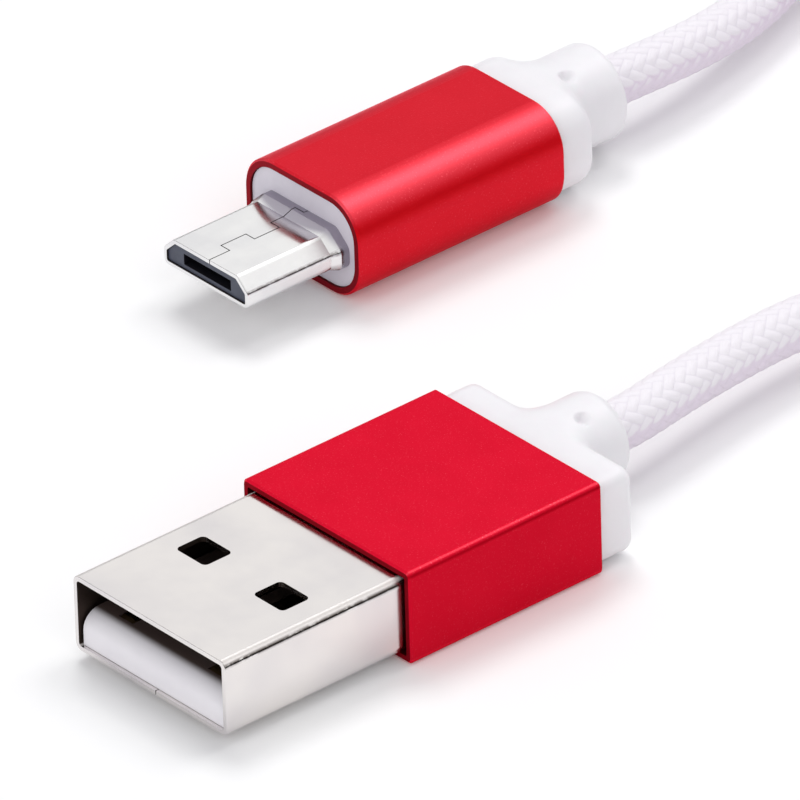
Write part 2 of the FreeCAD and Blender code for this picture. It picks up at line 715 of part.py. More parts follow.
# Middle of the cord and its direction after a number of turns of the coil
def coil_spot(turns):
    reverse = coil_turns / 2
    inward = coil_pitch * (reverse - abs(reverse - turns))
    radius = coil_radius - inward
    drift = -coil_pitch if turns < reverse else coil_pitch
    if turns == reverse:
        drift = 0.0
    climb = min(max((turns - coil_turns_in) / coil_climb, 0.0), 1.0)
    z = low + (high - low) * (1 - math.cos(math.pi * climb)) / 2
    steep = (high - low) * math.pi * math.sin(math.pi * climb) / (2 * coil_climb)
    angle = 2 * math.pi * turns
    out = Vector(math.cos(angle), math.sin(angle), 0)
    around = Vector(-math.sin(angle), math.cos(angle), 0)
    spot = Vector(coil_x, coil_y, z) + out * radius
    return spot, (around * (2 * math.pi * radius) + out * drift + Vector(0, 0, steep)).normalize()


quarters = round(4 * coil_turns)
north = Vector(0, 1, 0)
stations = [coil_spot(quarter / 4) for quarter in range(quarters + 1)]
stations[0] = (stations[0][0], north)
stations[-1] = (stations[-1][0], -north)
coil_edges = [line(stations[0][0] - north * cord_diameter, stations[0][0])]
for (a, along_a), (b, along_b) in zip(stations, stations[1:]):
    coil_edges += biarc(a, along_a, b, along_b)
coil_edges.append(line(stations[-1][0], stations[-1][0] - north * cord_diameter))


def tube(name, edges):
    path = Part.Wire(edges)
    start = edges[0].valueAt(edges[0].FirstParameter)
    along = edges[0].tangentAt(edges[0].FirstParameter)
    ring = Part.Wire([Part.Circle(start, along, cord_radius).toShape()])
    solid = path.makePipeShell([ring], True, False)
    expected = math.pi * cord_radius ** 2 * path.Length
    print(name, "length", round(path.Length, 1), "volume over section times length",
          round(solid.Volume / expected, 5))
    pieces[name] = solid
    return path.Length


cord_length = tube("cord_host_run", run_path("cord_host_run", host_route))
cord_length += tube("cord_coil", coil_edges)
cord_length += tube("cord_micro_run", run_path("cord_micro_run", micro_route))
print("cord", round(cord_length, 1), "cable from tip to tip", round(cord_length + host_end + micro_end, 1))

# Least gap of the coil to itself, between spots more than a quarter turn apart along it
spots = []
for edge in coil_edges:
    spots += edge.discretize(Distance=1.0)[:-1]
apart = round(math.pi * coil_radius / 2)
least = min((spots[i] - spots[j]).Length for i in range(len(spots)) for j in range(i + apart, len(spots)))
print("least gap of the coil to itself", round(least - cord_diameter, 3))

for name, shape in pieces.items():
    shape.exportStep("parts/" + name + ".step")
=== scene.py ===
import math
import bmesh
import bpy
from mathutils import Matrix, Vector


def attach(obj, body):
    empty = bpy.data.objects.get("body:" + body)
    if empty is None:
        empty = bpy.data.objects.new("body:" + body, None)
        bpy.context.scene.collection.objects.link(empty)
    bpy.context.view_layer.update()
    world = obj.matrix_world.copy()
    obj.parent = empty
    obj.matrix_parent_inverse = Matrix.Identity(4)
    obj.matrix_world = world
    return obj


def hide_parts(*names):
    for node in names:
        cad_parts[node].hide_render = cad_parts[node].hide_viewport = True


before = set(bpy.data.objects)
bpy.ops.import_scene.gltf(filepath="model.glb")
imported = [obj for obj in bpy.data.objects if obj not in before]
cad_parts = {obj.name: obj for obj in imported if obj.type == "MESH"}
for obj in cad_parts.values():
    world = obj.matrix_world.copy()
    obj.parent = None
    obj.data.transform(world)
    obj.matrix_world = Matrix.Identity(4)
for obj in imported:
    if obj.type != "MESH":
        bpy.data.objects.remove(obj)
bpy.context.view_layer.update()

mm = 0.001
scene = bpy.context.scene
print("frame loaded,", len(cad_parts), "pieces")


# Small helpers for meshes and nodes

def linkObject(name, data):
    piece = bpy.data.objects.new(name, data)
    scene.collection.objects.link(piece)
    return piece


# A node with its settings, and a value or a link for each input
def addNode(tree, kind, inputs=None, **settings):
    node = tree.nodes.new(kind)
    for name, value in settings.items():
        setattr(node, name, value)
    for name, value in (inputs or {}).items():
        if isinstance(value, bpy.types.NodeSocket):
            tree.links.new(value, node.inputs[name])
        else:
            node.inputs[name].default_value = value
    return node


def calc(tree, operation, *values):
    return addNode(tree, "ShaderNodeMath", dict(enumerate(values)), operation=operation).outputs[0]


def vectorCalc(tree, operation, *values):
    return addNode(tree, "ShaderNodeVectorMath", dict(enumerate(values)), operation=operation).outputs[0]


def blendColour(tree, amount, first, second):
    inputs = {0: amount, 6: first, 7: second}
    return addNode(tree, "ShaderNodeMix", inputs, data_type="RGBA").outputs[2]


def blendValue(tree, amount, first, second):
    return addNode(tree, "ShaderNodeMix", {0: amount, 2: first, 3: second}).outputs[0]


# Takes a 0 to 1 pattern to another range
def toRange(tree, value, low, high):
    return calc(tree, "MULTIPLY_ADD", value, high - low, low)


# 0 to 1 as the value goes from start to end, and level outside them
def ramp(tree, value, start=0.0, end=1.0, shape="LINEAR"):
    inputs = {0: value, 1: start, 2: end}
    return addNode(tree, "ShaderNodeMapRange", inputs, interpolation_type=shape).outputs[0]


def newMaterial(name):
    material = bpy.data.materials.new(name)
    material.use_nodes = True
    material.node_tree.nodes.clear()
    return material, material.node_tree


# Camera

shot = {
    "target": (12.45, -27.0, 0.0),   # mm, under the middle of the host plug's mouth
    "turn": 0.871791961,             # radians from the front towards the right
    "rise": 0.543146463,
    "roll": -0.0300196631,
    "across": -12.668437,            # mm from the target to the frame's middle
    "upward": -15.3750655,
    "away": 1020.24257,
    "lens": 900.0,
    "sensor": 36.0,
}


def addCamera(spec):
    turn, rise, roll = spec["turn"], spec["rise"], spec["roll"]
    back = Vector((math.sin(turn) * math.cos(rise), -math.cos(turn) * math.cos(rise), math.sin(rise)))
    level = Vector((math.cos(turn), math.sin(turn), 0.0))
    upright = back.cross(level)
    right = level * math.cos(roll) + upright * math.sin(roll)
    top = upright * math.cos(roll) - level * math.sin(roll)
    data = bpy.data.cameras.new("camera")
    data.lens = spec["lens"]
    data.sensor_width = spec["sensor"]
    camera = linkObject("camera", data)
    offset = back * spec["away"] - right * spec["across"] - top * spec["upward"]
    turned = Matrix((right, top, back)).transposed().to_4x4()
    turned.translation = (Vector(spec["target"]) + offset) * mm
    camera.matrix_world = turned
    scene.camera = camera


addCamera(shot)
print("camera placed")


# Braided cord, one route from the host plug through the coil to the device plug

cordPlan = {
    "diameter": 2.8,
    "length": 942.0,
    "hostRun": [(12.45, 3.85, 3.2), (12.45, 5.65, 3.2), (11.9, 8.8, 3.2), (11.1, 13.2, 3.0),
                (10.5, 18.4, 2.75), (10.6, 24.2, 2.35), (12.2, 31.0, 1.75), (15.7, 37.6, 1.4),
                (19.8, 44.2, 1.4), (23.2, 51.0, 1.4), (24.15, 55.6, 1.4), (24.15, 59.2, 1.4)],
    "microRun": [(-14.35, 27.0, 3.15), (-14.35, 29.6, 3.15), (-14.75, 34.2, 2.7), (-16.05, 39.4, 2.15),
                 (-18.15, 44.6, 2.3), (-19.85, 49.8, 3.35), (-21.25, 54.6, 4.65), (-21.25, 59.2, 4.65)],
    "coilCentre": (1.45, 62.0),
    "coilRadius": 22.7,              # middle of the outermost turn
    "coilPitch": 3.25,               # from turn to turn, and between the two layers
    "coilTurnsIn": 4,
    "coilClimb": 0.5,                # turn that climbs to the upper layer
    "pointsPerTurn": 16,
    "cornerPower": 0.98,             # moves the coil's points out, so that the curve keeps its radius
    "low": 1.4,
    "high": 4.65,
    "curveSteps": 12,
}

braidPlan = {
    "strands": 12,                   # each way round
    "stitch": 0.93,                  # along the cord
    "relief": 0.07,
    "columns": 48,
    "plugSteps": 200,                # fine rings at each plug
    "plugStep": 0.12,
    "coilSteps": 1540,
    "fade": 5.0,                     # over which the relief goes flat towards the coil
    "middle": 0.6,                   # height of a strand, from 0 to 1, that lies at the cord's radius
    "merge": 0.002,
    "foldAngle": 1.4,                # radians, past which an edge stays sharp
    "yarns": 5,                      # in a strand
    "yarnHeight": 0.05,              # of a strand's height
    "gapFrom": 0.45,                 # height under which a strand turns to the colour of the gaps
}


def coilPoints(plan):
    turns = 2 * plan["coilTurnsIn"] + plan["coilClimb"]
    count = round(turns * plan["pointsPerTurn"])
    widen = 1 / math.cos(math.pi / plan["pointsPerTurn"]) ** plan["cornerPower"]
    points = []
    for k in range(count + 1):
        turn = k / plan["pointsPerTurn"]
        radius = plan["coilRadius"] - plan["coilPitch"] * (turns / 2 - abs(turns / 2 - turn))
        if 0 < k < count:
            radius *= widen
        climb = min(max((turn - plan["coilTurnsIn"]) / plan["coilClimb"], 0.0), 1.0)
        height = plan["low"] + (plan["high"] - plan["low"]) * (1 - math.cos(math.pi * climb)) / 2
        angle = 2 * math.pi * turn
        points.append((plan["coilCentre"][0] + radius * math.cos(angle),
                       plan["coilCentre"][1] + radius * math.sin(angle), height))
    return points


# The route's spline, and the plain line that follows it
def routeLine(plan):
    corners = plan["hostRun"] + coilPoints(plan) + plan["microRun"][::-1]
    curve = bpy.data.curves.new("cordRoute", "CURVE")
    curve.dimensions = "3D"
    curve.resolution_u = plan["curveSteps"]
    spline = curve.splines.new("NURBS")
    spline.points.add(len(corners) - 1)
    for point, corner in zip(spline.points, corners):
        point.co = (corner[0] * mm, corner[1] * mm, corner[2] * mm, 1.0)
    spline.order_u = 3
    spline.use_endpoint_u = True
    guide = bpy.data.objects.new("cordRoute", curve)
    line = bpy.data.meshes.new_from_object(guide)
    bpy.data.objects.remove(guide)
    bpy.data.curves.remove(curve)
    return line


# Two sets of flat strands that pass over two and under two; around is 0 to 1, along and stitch are metres
def weave(tree, around, along, strands, stitch):
    repeat = 4.0                     # strands in two over and two under
    u = calc(tree, "MULTIPLY", around, strands)
    v = calc(tree, "DIVIDE", along, stitch)
    leftward = calc(tree, "SUBTRACT", u, v)
    rightward = calc(tree, "ADD", u, v)
    leftStrand = calc(tree, "FLOOR", leftward)
    rightStrand = calc(tree, "FLOOR", rightward)
    crossing = calc(tree, "FLOORED_MODULO", calc(tree, "ADD", leftStrand, rightStrand), repeat)
    leftOver = calc(tree, "LESS_THAN", crossing, repeat / 2 - 0.5)
    leftFloat = calc(tree, "FLOORED_MODULO", calc(tree, "ADD", leftStrand, rightward), repeat)
    rightFloat = calc(tree, "FLOORED_MODULO", calc(tree, "ADD", rightStrand, leftward), repeat)
    rightFloat = calc(tree, "SUBTRACT", rightFloat, repeat / 2)
    leftAcross = calc(tree, "FRACT", leftward)
    rightAcross = calc(tree, "FRACT", rightward)
    run = blendValue(tree, leftOver, rightFloat, leftFloat)
    across = blendValue(tree, leftOver, rightAcross, leftAcross)
    strand = blendValue(tree, leftOver, rightStrand, leftStrand)
    middle = calc(tree, "MULTIPLY_ADD", across, 2.0, -1.0)
    crown = calc(tree, "SUBTRACT", 1.0, calc(tree, "MULTIPLY", middle, middle))
    arch = calc(tree, "SINE", calc(tree, "MULTIPLY", run, 2 * math.pi / repeat))
    pillow = calc(tree, "MAXIMUM", calc(tree, "MULTIPLY", crown, arch), 0.0)
    return calc(tree, "SQRT", pillow), across, strand, leftOver


# Geometry Nodes tree that wraps a braided tube round a line
def braidTree(braid):
    tree = bpy.data.node_groups.new("braidTube", "GeometryNodeTree")
    sockets = {}
    for name, kind in (("Route", "NodeSocketGeometry"), ("Radius", "NodeSocketFloat"),
                       ("Columns", "NodeSocketInt"), ("Plug Steps", "NodeSocketInt"),
                       ("Plug Step", "NodeSocketFloat"), ("Coil Steps", "NodeSocketInt"),
                       ("Relief", "NodeSocketFloat"), ("Fade", "NodeSocketFloat"),
                       ("Strands", "NodeSocketInt"), ("Stitch", "NodeSocketFloat"),
                       ("Braid", "NodeSocketMaterial")):
        sockets[name] = tree.interface.new_socket(name, in_out="INPUT", socket_type=kind).identifier
    tree.interface.new_socket("Cord", in_out="OUTPUT", socket_type="NodeSocketGeometry")
    given = addNode(tree, "NodeGroupInput").outputs
    curve = addNode(tree, "GeometryNodeMeshToCurve", {0: given["Route"]}).outputs[0]
    length = addNode(tree, "GeometryNodeCurveLength", {0: curve}).outputs[0]

    # Rings: one at each end is drawn to a point, so that the tube is closed
    plugSteps = given["Plug Steps"]
    bodySteps = calc(tree, "MULTIPLY_ADD", plugSteps, 2.0, given["Coil Steps"])
    rows = calc(tree, "ADD", bodySteps, 3.0)
    grid = addNode(tree, "GeometryNodeMeshGrid", {"Size X": 1.0, "Size Y": 1.0, "Vertices Y": rows,
                                                  "Vertices X": calc(tree, "ADD", given["Columns"], 1.0)})
    placed = addNode(tree, "ShaderNodeSeparateXYZ", {0: grid.outputs["UV Map"]}).outputs
    around = placed[0]
    row = calc(tree, "ROUND", calc(tree, "MULTIPLY", placed[1], calc(tree, "ADD", bodySteps, 2.0)))
    ring = calc(tree, "MINIMUM", calc(tree, "MAXIMUM", calc(tree, "SUBTRACT", row, 1.0), 0.0), bodySteps)
    isEnd = calc(tree, "GREATER_THAN", calc(tree, "ABSOLUTE", calc(
        tree, "SUBTRACT", calc(tree, "SUBTRACT", row, 1.0), ring)), 0.5)

    # Short steps near the plugs and long ones in the coil
    plugLength = calc(tree, "MULTIPLY", plugSteps, given["Plug Step"])
    coilLength = calc(tree, "SUBTRACT", length, calc(tree, "MULTIPLY", plugLength, 2.0))
    coilStep = calc(tree, "DIVIDE", coilLength, given["Coil Steps"])
    first = calc(tree, "MINIMUM", ring, plugSteps)
    middle = calc(tree, "MINIMUM", calc(tree, "MAXIMUM", calc(tree, "SUBTRACT", ring, plugSteps), 0.0),
                  given["Coil Steps"])
    last = calc(tree, "SUBTRACT", calc(tree, "SUBTRACT", ring, first), middle)
    fine = calc(tree, "MULTIPLY", calc(tree, "ADD", first, last), given["Plug Step"])
    along = calc(tree, "MULTIPLY_ADD", middle, coilStep, fine)

    # Relief of the strands, flat towards the coil
    height = weave(tree, around, along, given["Strands"], given["Stitch"])[0]
    nearest = calc(tree, "MINIMUM", along, calc(tree, "SUBTRACT", length, along))
    fading = calc(tree, "DIVIDE", calc(tree, "SUBTRACT", plugLength, nearest), given["Fade"])
    fading = calc(tree, "MINIMUM", calc(tree, "MAXIMUM", fading, 0.0), 1.0)
    lift = calc(tree, "MULTIPLY", calc(tree, "SUBTRACT", height, braid["middle"]), given["Relief"])
    radius = calc(tree, "MULTIPLY_ADD", lift, fading, given["Radius"])
    radius = calc(tree, "MULTIPLY", radius, calc(tree, "SUBTRACT", 1.0, isEnd))

    sample = addNode(tree, "GeometryNodeSampleCurve", {"Curves": curve, "Length": along}, mode="LENGTH")
    tangent = sample.outputs["Tangent"]
    side = vectorCalc(tree, "NORMALIZE", vectorCalc(tree, "CROSS_PRODUCT", tangent, (0.0, 0.0, 1.0)))
    above = vectorCalc(tree, "CROSS_PRODUCT", side, tangent)
    angle = calc(tree, "MULTIPLY", around, -2 * math.pi)
    spot = sample.outputs["Position"]
    for direction, wave in ((side, "COSINE"), (above, "SINE")):
        reach = calc(tree, "MULTIPLY", calc(tree, wave, angle), radius)
        spread = addNode(tree, "ShaderNodeCombineXYZ", {0: reach, 1: reach, 2: reach}).outputs[0]
        spot = vectorCalc(tree, "ADD", spot, vectorCalc(tree, "MULTIPLY", direction, spread))

    unrolled = addNode(tree, "ShaderNodeCombineXYZ", {0: around, 1: along}).outputs[0]
    mapped = addNode(tree, "GeometryNodeStoreNamedAttribute",
                     {"Geometry": grid.outputs["Mesh"], "Name": "UVMap", "Value": unrolled},
                     data_type="FLOAT2", domain="CORNER").outputs[0]
    shaped = addNode(tree, "GeometryNodeSetPosition", {"Geometry": mapped, "Position": spot}).outputs[0]
    merging = {0: shaped, "Distance": braid["merge"] * mm}
    closed = addNode(tree, "GeometryNodeMergeByDistance", merging).outputs[0]
    smooth = addNode(tree, "GeometryNodeSetShadeSmooth", {0: closed, "Shade Smooth": True}).outputs[0]
    angles = addNode(tree, "GeometryNodeInputMeshEdgeAngle").outputs[0]
    folds = calc(tree, "GREATER_THAN", angles, braid["foldAngle"])
    edged = addNode(tree, "GeometryNodeSetShadeSmooth",
                    {0: smooth, "Selection": folds, "Shade Smooth": False}, domain="EDGE").outputs[0]
    real = addNode(tree, "GeometryNodeRealizeInstances", {0: edged}).outputs[0]
    painted = addNode(tree, "GeometryNodeSetMaterial", {0: real, "Material": given["Braid"]}).outputs[0]
    addNode(tree, "NodeGroupOutput", {0: painted})
    return tree, sockets


def makeCord(plan, braid, material):
    line = routeLine(plan)
    cord = linkObject("braidedCord", line)
    tree, sockets = braidTree(braid)
    wrap = cord.modifiers.new("braid", "NODES")
    wrap.node_group = tree
    values = {"Radius": plan["diameter"] / 2 * mm, "Columns": braid["columns"],
              "Plug Steps": braid["plugSteps"], "Plug Step": braid["plugStep"] * mm,
              "Coil Steps": braid["coilSteps"], "Relief": braid["relief"] * mm,
              "Fade": braid["fade"] * mm, "Strands": braid["strands"],
              "Stitch": braid["stitch"] * mm, "Braid": material}
    for name, value in values.items():
        wrap[sockets[name]] = value
    evaluated = cord.evaluated_get(bpy.context.evaluated_depsgraph_get())
    mesh = bpy.data.meshes.new_from_object(evaluated)
    cord.modifiers.remove(wrap)
    cord.data = mesh
    mesh.name = "braidedCord"
    bpy.data.meshes.remove(line)
    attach(cord, "cable")
    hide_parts("cord_host_run", "cord_coil", "cord_micro_run")


# Shared patterns, with the values between which each one goes from none to full

patternEdges = {
    "clouds": (0.36, 0.64),
    "specks": (0.6, 0.74),
    "inward": (-0.05, -0.2),         # how far a face looks away from the plug's axis
    "floor": (0.5, 0.8),             # and up
    "sideways": (0.95, 0.8),         # and along the plug
}


def newPattern(name, inputs, outputs):
    tree = bpy.data.node_groups.new(name, "ShaderNodeTree")
    for label, kind in inputs:
        tree.interface.new_socket(label, in_out="INPUT", socket_type="NodeSocket" + kind)
    for label in outputs:
        tree.interface.new_socket(label, in_out="OUTPUT", socket_type="NodeSocketFloat")
    return tree, addNode(tree, "NodeGroupInput").outputs


# Cloudy patches, and fine grain, both of a size in metres
def patchPattern():
    tree, given = newPattern("patches", [("Place", "Vector"), ("Size", "Float")], ["Patches"])
    scale = calc(tree, "DIVIDE", 1.0, given["Size"])
    noise = addNode(tree, "ShaderNodeTexNoise", {"Vector": given["Place"], "Scale": scale, "Detail": 3.0})
    addNode(tree, "NodeGroupOutput", {0: ramp(tree, noise.outputs[0], *patternEdges["clouds"])})
    return tree


def grainPattern():
    tree, given = newPattern("grain", [("Place", "Vector"), ("Size", "Float"), ("Stretch", "Vector")],
                             ["Grain", "Specks"])
    scale = calc(tree, "DIVIDE", 1.0, given["Size"])
    drawn = vectorCalc(tree, "MULTIPLY", given["Place"], given["Stretch"])
    noise = addNode(tree, "ShaderNodeTexNoise", {"Vector": drawn, "Scale": scale, "Detail": 2.0})
    specks = ramp(tree, noise.outputs[0], *patternEdges["specks"])
    addNode(tree, "NodeGroupOutput", {0: noise.outputs[0], 1: specks})
    return tree


# 1 on faces that look towards the plug's axis, for the painted shade on the inner side of shells and
# sleeves. On the inner floor, where faces look up, it is only the share called Bottom
def hollowPattern():
    tree, given = newPattern("hollow", [("Place", "Vector"), ("Facing", "Vector"), ("Axis", "Vector"),
                                        ("Bottom", "Float")], ["Inside"])
    offset = vectorCalc(tree, "SUBTRACT", given["Place"], given["Axis"])
    offset = vectorCalc(tree, "MULTIPLY", offset, (1.0, 0.0, 1.0))
    offset = vectorCalc(tree, "NORMALIZE", offset)
    inward = addNode(tree, "ShaderNodeVectorMath", {0: offset, 1: given["Facing"]},
                     operation="DOT_PRODUCT").outputs["Value"]
    inside = ramp(tree, inward, *patternEdges["inward"])
    upward = addNode(tree, "ShaderNodeSeparateXYZ", {0: given["Facing"]}).outputs[2]
    kept = blendValue(tree, ramp(tree, upward, *patternEdges["floor"]), 1.0, given["Bottom"])
    addNode(tree, "NodeGroupOutput", {0: calc(tree, "MULTIPLY", inside, kept)})
    return tree


# Masks for a painted highlight and a painted dark reflection, as lines along the upper rims of a sleeve,
# by how far a face turns from the top to the side, and none on its end faces
def rimPattern():
    tree, given = newPattern("rims", [("Facing", "Vector"), ("Crest", "Float"), ("Crestwidth", "Float"),
                                      ("Trough", "Float"), ("Troughwidth", "Float")], ["Light", "Dark"])
    parts = addNode(tree, "ShaderNodeSeparateXYZ", {0: given["Facing"]}).outputs
    turned = calc(tree, "ARCTAN2", calc(tree, "ABSOLUTE", parts[0]), parts[2])
    sideways = ramp(tree, calc(tree, "ABSOLUTE", parts[1]), *patternEdges["sideways"])
    lines = []
    for middle, width in (("Crest", "Crestwidth"), ("Trough", "Troughwidth")):
        away = calc(tree, "ABSOLUTE", calc(tree, "SUBTRACT", turned, given[middle]))
        near = calc(tree, "SUBTRACT", 1.0, calc(tree, "DIVIDE", away, given[width]))
        lines.append(calc(tree, "MULTIPLY", ramp(tree, near, shape="SMOOTHSTEP"), sideways))
    addNode(tree, "NodeGroupOutput", {0: lines[0], 1: lines[1]})
    return tree


# Mask for a painted dark reflection where a drawn shell flares into its mould, behind a line that bows
# forwards in the middle
def flarePattern():
    tree, given = newPattern("flareReflectionMask", [("Place", "Vector"), ("Middle", "Float"), ("Front", "Float"),
                                            ("Bow", "Float"), ("Fade", "Float")], ["Behind"])
    parts = addNode(tree, "ShaderNodeSeparateXYZ", {0: given["Place"]}).outputs
    beside = calc(tree, "SUBTRACT", parts[0], given["Middle"])
    bowed = calc(tree, "MULTIPLY", calc(tree, "MULTIPLY", beside, beside), given["Bow"])
    depth = calc(tree, "SUBTRACT", calc(tree, "SUBTRACT", parts[1], given["Front"]), bowed)
    reach = calc(tree, "DIVIDE", depth, given["Fade"])
    addNode(tree, "NodeGroupOutput", {0: ramp(tree, reach, shape="SMOOTHSTEP")})
    return tree


# Strands of the braid with the yarns in each, the gaps between them, and a tone for each strand
def braidPattern(braid):
    inputs = [("Map", "Vector"), ("Strands", "Float"), ("Stitch", "Float")]
    tree, given = newPattern("braidStrands", inputs, ["Height", "Gap", "Tone"])
    parts = addNode(tree, "ShaderNodeSeparateXYZ", {0: given["Map"]}).outputs
    height, across, strand, leftOver = weave(tree, parts[0], parts[1], given["Strands"], given["Stitch"])
    yarn = calc(tree, "COSINE", calc(tree, "MULTIPLY", across, 2 * math.pi * braid["yarns"]))
    fine = calc(tree, "MULTIPLY_ADD", yarn, braid["yarnHeight"], height)
    gap = ramp(tree, height, braid["gapFrom"], 0.0)
    seed = addNode(tree, "ShaderNodeCombineXYZ", {0: strand, 1: leftOver}).outputs[0]
    tone = addNode(tree, "ShaderNodeTexWhiteNoise", {"Vector": seed}, noise_dimensions="3D").outputs[0]
    addNode(tree, "NodeGroupOutput", {0: fine, 1: gap, 2: tone})
    return tree


patterns = {"patches": patchPattern(), "grain": grainPattern(), "hollow": hollowPattern(),
            "rims": rimPattern(), "flare": flarePattern(), "braid": braidPattern(braidPlan)}


def usePattern(tree, name, **inputs):
    node = addNode(tree, "ShaderNodeGroup", node_tree=patterns[name])
    for label, value in inputs.items():
        socket = node.inputs[label.capitalize()]
        if isinstance(value, bpy.types.NodeSocket):
            tree.links.new(value, socket)
        else:
            socket.default_value = value
    return node.outputs


# A material with its constants set on the shader itself
def newFinish(name, constants):
    material, tree = newMaterial(name)
    shader = addNode(tree, "ShaderNodeBsdfPrincipled")
    for label, value in constants.items():
        shader.inputs[label].default_value = value
    addNode(tree, "ShaderNodeOutputMaterial", {0: shader.outputs[0]})
    place = addNode(tree, "ShaderNodeTexCoord").outputs["Object"]
    return material, tree, shader, place


def facingOf(tree):
    return addNode(tree, "ShaderNodeTexCoord").outputs["Normal"]


def insideOf(tree, place, look):
    return usePattern(tree, "hollow", place=place, facing=facingOf(tree), axis=Vector(look["axis"]) * mm,
                      bottom=look.get("bottom", 1.0))[0]


def plug(tree, shader, label, value):
    tree.links.new(value, shader.inputs[label])


def patchesOf(tree, place, look):
    return usePattern(tree, "patches", place=place, size=look["patchSize"] * mm)[0]


# Fine grain and its specks, with cells of a given size in mm
def grainOf(tree, place, size, stretch=(1.0, 1.0, 1.0)):
    return usePattern(tree, "grain", place=place, size=size * mm, stretch=stretch)


# Bump of a given depth in mm
def addBump(tree, shader, height, depth):
    inputs = {"Strength": 1.0, "Distance": depth * mm, "Height": height}
    bump = addNode(tree, "ShaderNodeBump", inputs).outputs[0]
    plug(tree, shader, "Normal", bump)
    return bump


# Bright nickel of a folded shell, rougher on its bends, with painted shade on the bends, a broken line of
# painted dark reflection below them, and painted shade on the rough inner faces
def nickelFinish(name, look, wear):
    material, tree, shader, place = newFinish(name, {"Metallic": 1.0})
    patches = patchesOf(tree, place, look)
    streaks = grainOf(tree, place, wear["streakSize"], wear["streakStretch"])[0]
    inside = insideOf(tree, place, look)
    colour = blendColour(tree, patches, look["light"], look["deep"])
    worn = toRange(tree, patches, *look["roughness"])
    crest, trough = wear["bend"], wear["darkLine"]
    bend, darkLineMask = usePattern(tree, "rims", facing=facingOf(tree), crest=crest[0], crestwidth=crest[1],
                               trough=trough[0], troughwidth=trough[1])
    # Painted shade that tones down the highlight on the bends
    colour = blendColour(tree, bend, colour, look["bend"])
    worn = blendValue(tree, bend, worn, look["bendRoughness"])
    # A broken line of painted dark reflection below the bends
    marks = grainOf(tree, place, wear["markSize"], wear["markStretch"])[0]
    marks = ramp(tree, marks, wear["markFrom"], wear["markTo"])
    colour = blendColour(tree, calc(tree, "MULTIPLY", darkLineMask, marks), colour, look["darkLine"])
    if "flareFront" in look:
        behind = usePattern(tree, "flare", place=place, middle=look["axis"][0] * mm,
                            bow=look["flareBow"] / mm, front=look["flareFront"] * mm,
                            fade=look["flareFade"] * mm)[0]
        # Painted dark reflection behind the flare's front line
        colour = blendColour(tree, behind, colour, look["behind"])
        worn = blendValue(tree, behind, worn, wear["flareRoughness"])
    # Painted shade on the inner faces
    plug(tree, shader, "Base Color", blendColour(tree, inside, colour, look["inside"]))
    plug(tree, shader, "Roughness", blendValue(tree, inside, worn, wear["insideRoughness"]))
    addBump(tree, shader, streaks, look["streak"])
    return material


# Bead-blasted, anodised aluminium, with painted glints, painted shade and painted rim lines of highlight and
# reflection
def anodisedFinish(name, look):
    material, tree, shader, place = newFinish(name, {
        "Metallic": look["metal"], "Specular IOR Level": look["specular"], "Specular Tint": look["tint"],
        "Coat Weight": look["coat"], "Coat Roughness": look["coatRoughness"]})
    patches = patchesOf(tree, place, look)
    grain, specks = grainOf(tree, place, look["grainSize"])
    inside = insideOf(tree, place, look)
    colour = blendColour(tree, patches, look["light"], look["deep"])
    # Painted glints: specks turned towards a bright colour
    glints = calc(tree, "MULTIPLY", specks, look["glint"])
    colour = blendColour(tree, glints, colour, look["paintedGlint"])
    facing = facingOf(tree)
    # Painted shade on the faces that look forward, at the sleeve's mouth
    onward = addNode(tree, "ShaderNodeSeparateXYZ", {0: facing}).outputs[1]
    mouth = ramp(tree, onward, look["mouthFrom"], look["mouthTo"])
    colour = blendColour(tree, mouth, colour, look["mouth"])
    crest, trough = look["crest"], look["trough"]
    light, dark = usePattern(tree, "rims", facing=facing, crest=crest[0], crestwidth=crest[1],
                             trough=trough[0], troughwidth=trough[1])
    # Painted highlight along the upper rims, broken by the specks, and a painted dark reflection line below
    # it
    broken = calc(tree, "MULTIPLY", light, toRange(tree, specks, crest[2], 1.0))
    colour = blendColour(tree, broken, colour, look["rimHighlight"])
    colour = blendColour(tree, dark, colour, look["rimDarkReflection"])
    # Painted shade on the inner faces of the sleeve
    plug(tree, shader, "Base Color", blendColour(tree, inside, colour, look["inside"]))
    plug(tree, shader, "Roughness", toRange(tree, grain, *look["roughness"]))
    plug(tree, shader, "Coat Normal", addBump(tree, shader, grain, look["grainDepth"]))
    return material


# Moulded plastic, with glow, and painted shade on its inner side or towards the back where its look gives
# one
def mouldedFinish(name, look):
    constants = {}
    if "glow" in look:
        constants = {"Subsurface Weight": look["glow"], "Subsurface Radius": look["glowTint"],
                     "Subsurface Scale": look["glowDepth"] * mm}
    material, tree, shader, place = newFinish(name, constants)
    patches = patchesOf(tree, place, look)
    grain = grainOf(tree, place, look["grainSize"])[0]
    colour = blendColour(tree, patches, look["light"], look["deep"])
    # Painted shade on the inner faces, where the look gives it
    if "inside" in look:
        colour = blendColour(tree, insideOf(tree, place, look), colour, look["inside"])
    # Painted shade towards the back
    if "shadeFrom" in look:
        along = addNode(tree, "ShaderNodeSeparateXYZ", {0: place}).outputs[1]
        depth = ramp(tree, along, look["shadeFrom"] * mm, look["shadeTo"] * mm, "SMOOTHSTEP")
        colour = blendColour(tree, depth, colour, look["shade"])
    plug(tree, shader, "Base Color", colour)
    plug(tree, shader, "Roughness", toRange(tree, grain, *look["roughness"]))
    addBump(tree, shader, grain, look["grainDepth"])
    return material


# Plain small metal and covering, with some patches
def plainFinish(name, look, surface):
    material, tree, shader, place = newFinish(name, {"Metallic": look.get("metal", 0.0)})
    patches = patchesOf(tree, place, surface)
    plug(tree, shader, "Base Color", blendColour(tree, patches, look["light"], look["deep"]))
    plug(tree, shader, "Roughness", toRange(tree, patches, *look["roughness"]))
    grain = grainOf(tree, place, surface["grainSize"])[0]
    addBump(tree, shader, grain, surface["grainDepth"])
    return material
